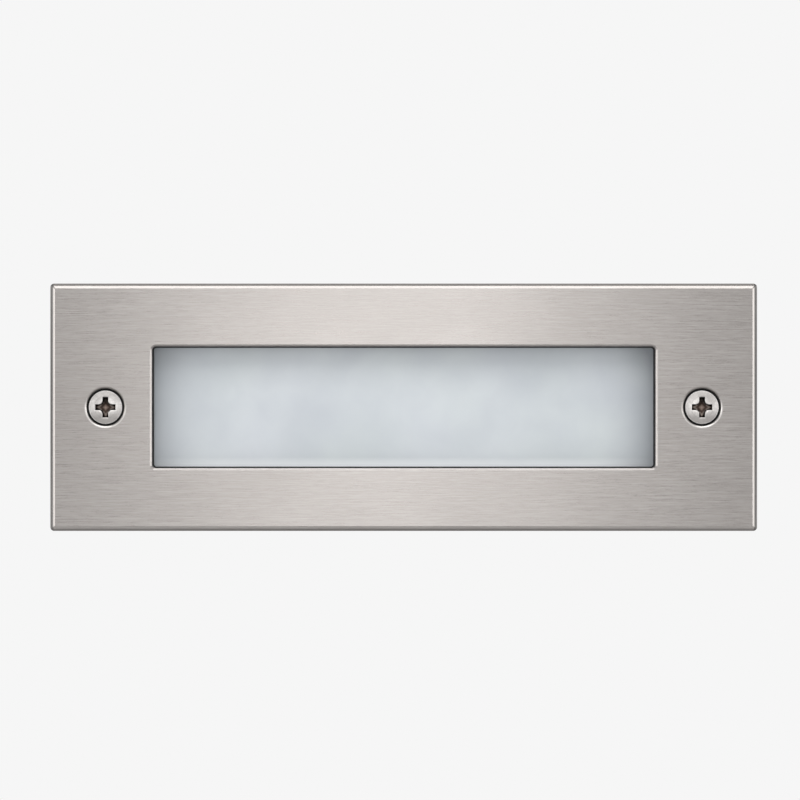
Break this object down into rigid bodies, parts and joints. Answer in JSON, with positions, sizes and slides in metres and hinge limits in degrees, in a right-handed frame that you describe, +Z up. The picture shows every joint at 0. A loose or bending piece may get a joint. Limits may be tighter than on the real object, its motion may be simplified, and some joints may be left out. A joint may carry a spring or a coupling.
{
  "type": "recessed step light",
  "caption": "Recessed step light: brushed rectangular faceplate with a long frosted window, captive face screws and a cast box behind it.",
  "frame": {"origin": "centre of the plate's seat on the wall face, on the back of the wall gasket", "axes": "+X right along the plate, +Z up, -Y out of the wall towards the viewer, +Y into the wall"},
  "size_m": [0.2, 0.0877, 0.07],
  "materials": {
    "plate_steel": "brushed lengthways",
    "screw_steel": "machined, satin",
    "sheet_steel": "mill finish",
    "plated_steel": "zinc plated",
    "frosted_glass": "acid-etched, satin",
    "black_rubber": "matt moulded",
    "foam_rubber": "closed-cell foam",
    "cast_alloy": "die-cast, blasted",
    "tray_alloy": "rolled sheet",
    "brass": "turned",
    "tinned_copper": "tinned",
    "white_plastic": "moulded, satin",
    "board_white": "white solder resist",
    "led_face": "phosphor gel",
    "connector_white": "moulded",
    "driver_case": "moulded, fine texture",
    "terminal_nylon": "moulded",
    "nylon_natural": "moulded",
    "gland_nylon": "moulded, satin",
    "lead_brown": "insulation",
    "lead_red": "insulation",
    "lead_green": "insulation"
  },
  "bodies": {
    "box": {"housing": "cast_alloy", "housing_gasket": "foam_rubber", "screw_inserts": "brass", "gear_tray": "tray_alloy", "tray_screws": "plated_steel", "reflector": "white_plastic", "led_board": "board_white", "leds": "led_face", "board_screws": "plated_steel", "board_connector": "connector_white", "led_driver": "driver_case", "driver_screws": "plated_steel", "terminal_block": "terminal_nylon", "terminal_clamps": "brass", "terminal_screws": "plated_steel", "earth_tag": "tinned_copper", "earth_washer": "plated_steel", "earth_screw": "brass", "supply_leads": "lead_brown", "led_leads": "lead_red", "earth_lead": "lead_green", "lead_grommet": "black_rubber", "entry_seals": "black_rubber", "entry_locknuts": "gland_nylon", "entry_plug": "gland_nylon", "gland_body": "gland_nylon", "gland_seal": "black_rubber"},
    "cover": {"faceplate": "plate_steel", "wall_gasket": "foam_rubber", "lens": "frosted_glass", "lens_gasket": "black_rubber", "lens_pad": "black_rubber", "lens_retainer": "sheet_steel", "lens_studs": "sheet_steel", "lens_nuts": "plated_steel", "screw_retainers": "nylon_natural"},
    "left_washer": {"left_screw_washer": "black_rubber"},
    "left_screw": {"left_screw": "screw_steel"},
    "right_washer": {"right_screw_washer": "black_rubber"},
    "right_screw": {"right_screw": "screw_steel"},
    "gland_ring": {"gland_slip_ring": "nylon_natural"},
    "gland_cap": {"gland_nut": "gland_nylon"}
  },
  "joints": [
    {"name": "cover_lift", "type": "slide", "parent": "box", "child": "cover", "axis": [0, -1, 0], "range_m": [0, 0.06]},
    {"name": "left_screw_travel", "type": "slide", "parent": "cover", "child": "left_washer", "axis": [0, -1, 0], "range_m": [0, 0.008]},
    {"name": "left_screw_turn", "type": "hinge", "parent": "left_washer", "child": "left_screw", "pos_m": [-0.08435, 0, 0], "axis": [0, -1, 0], "range_deg": [0, 3600]},
    {"name": "right_screw_travel", "type": "slide", "parent": "cover", "child": "right_washer", "axis": [0, -1, 0], "range_m": [0, 0.008]},
    {"name": "right_screw_turn", "type": "hinge", "parent": "right_washer", "child": "right_screw", "pos_m": [0.08435, 0, 0], "axis": [0, -1, 0], "range_deg": [0, 3600]},
    {"name": "gland_travel", "type": "slide", "parent": "box", "child": "gland_ring", "axis": [0, 1, 0], "range_m": [0, 0.0045]},
    {"name": "gland_turn", "type": "hinge", "parent": "gland_ring", "child": "gland_cap", "pos_m": [0.056, 0.08, 0], "axis": [0, 1, 0], "range_deg": [0, 1080]}
  ],
  "couplings": [
    {"joint": "left_screw_turn", "follows": "left_screw_travel", "rad_per_m": 7854},
    {"joint": "right_screw_turn", "follows": "right_screw_travel", "rad_per_m": 7854},
    {"joint": "gland_turn", "follows": "gland_travel", "rad_per_m": 4188.8}
  ]
}
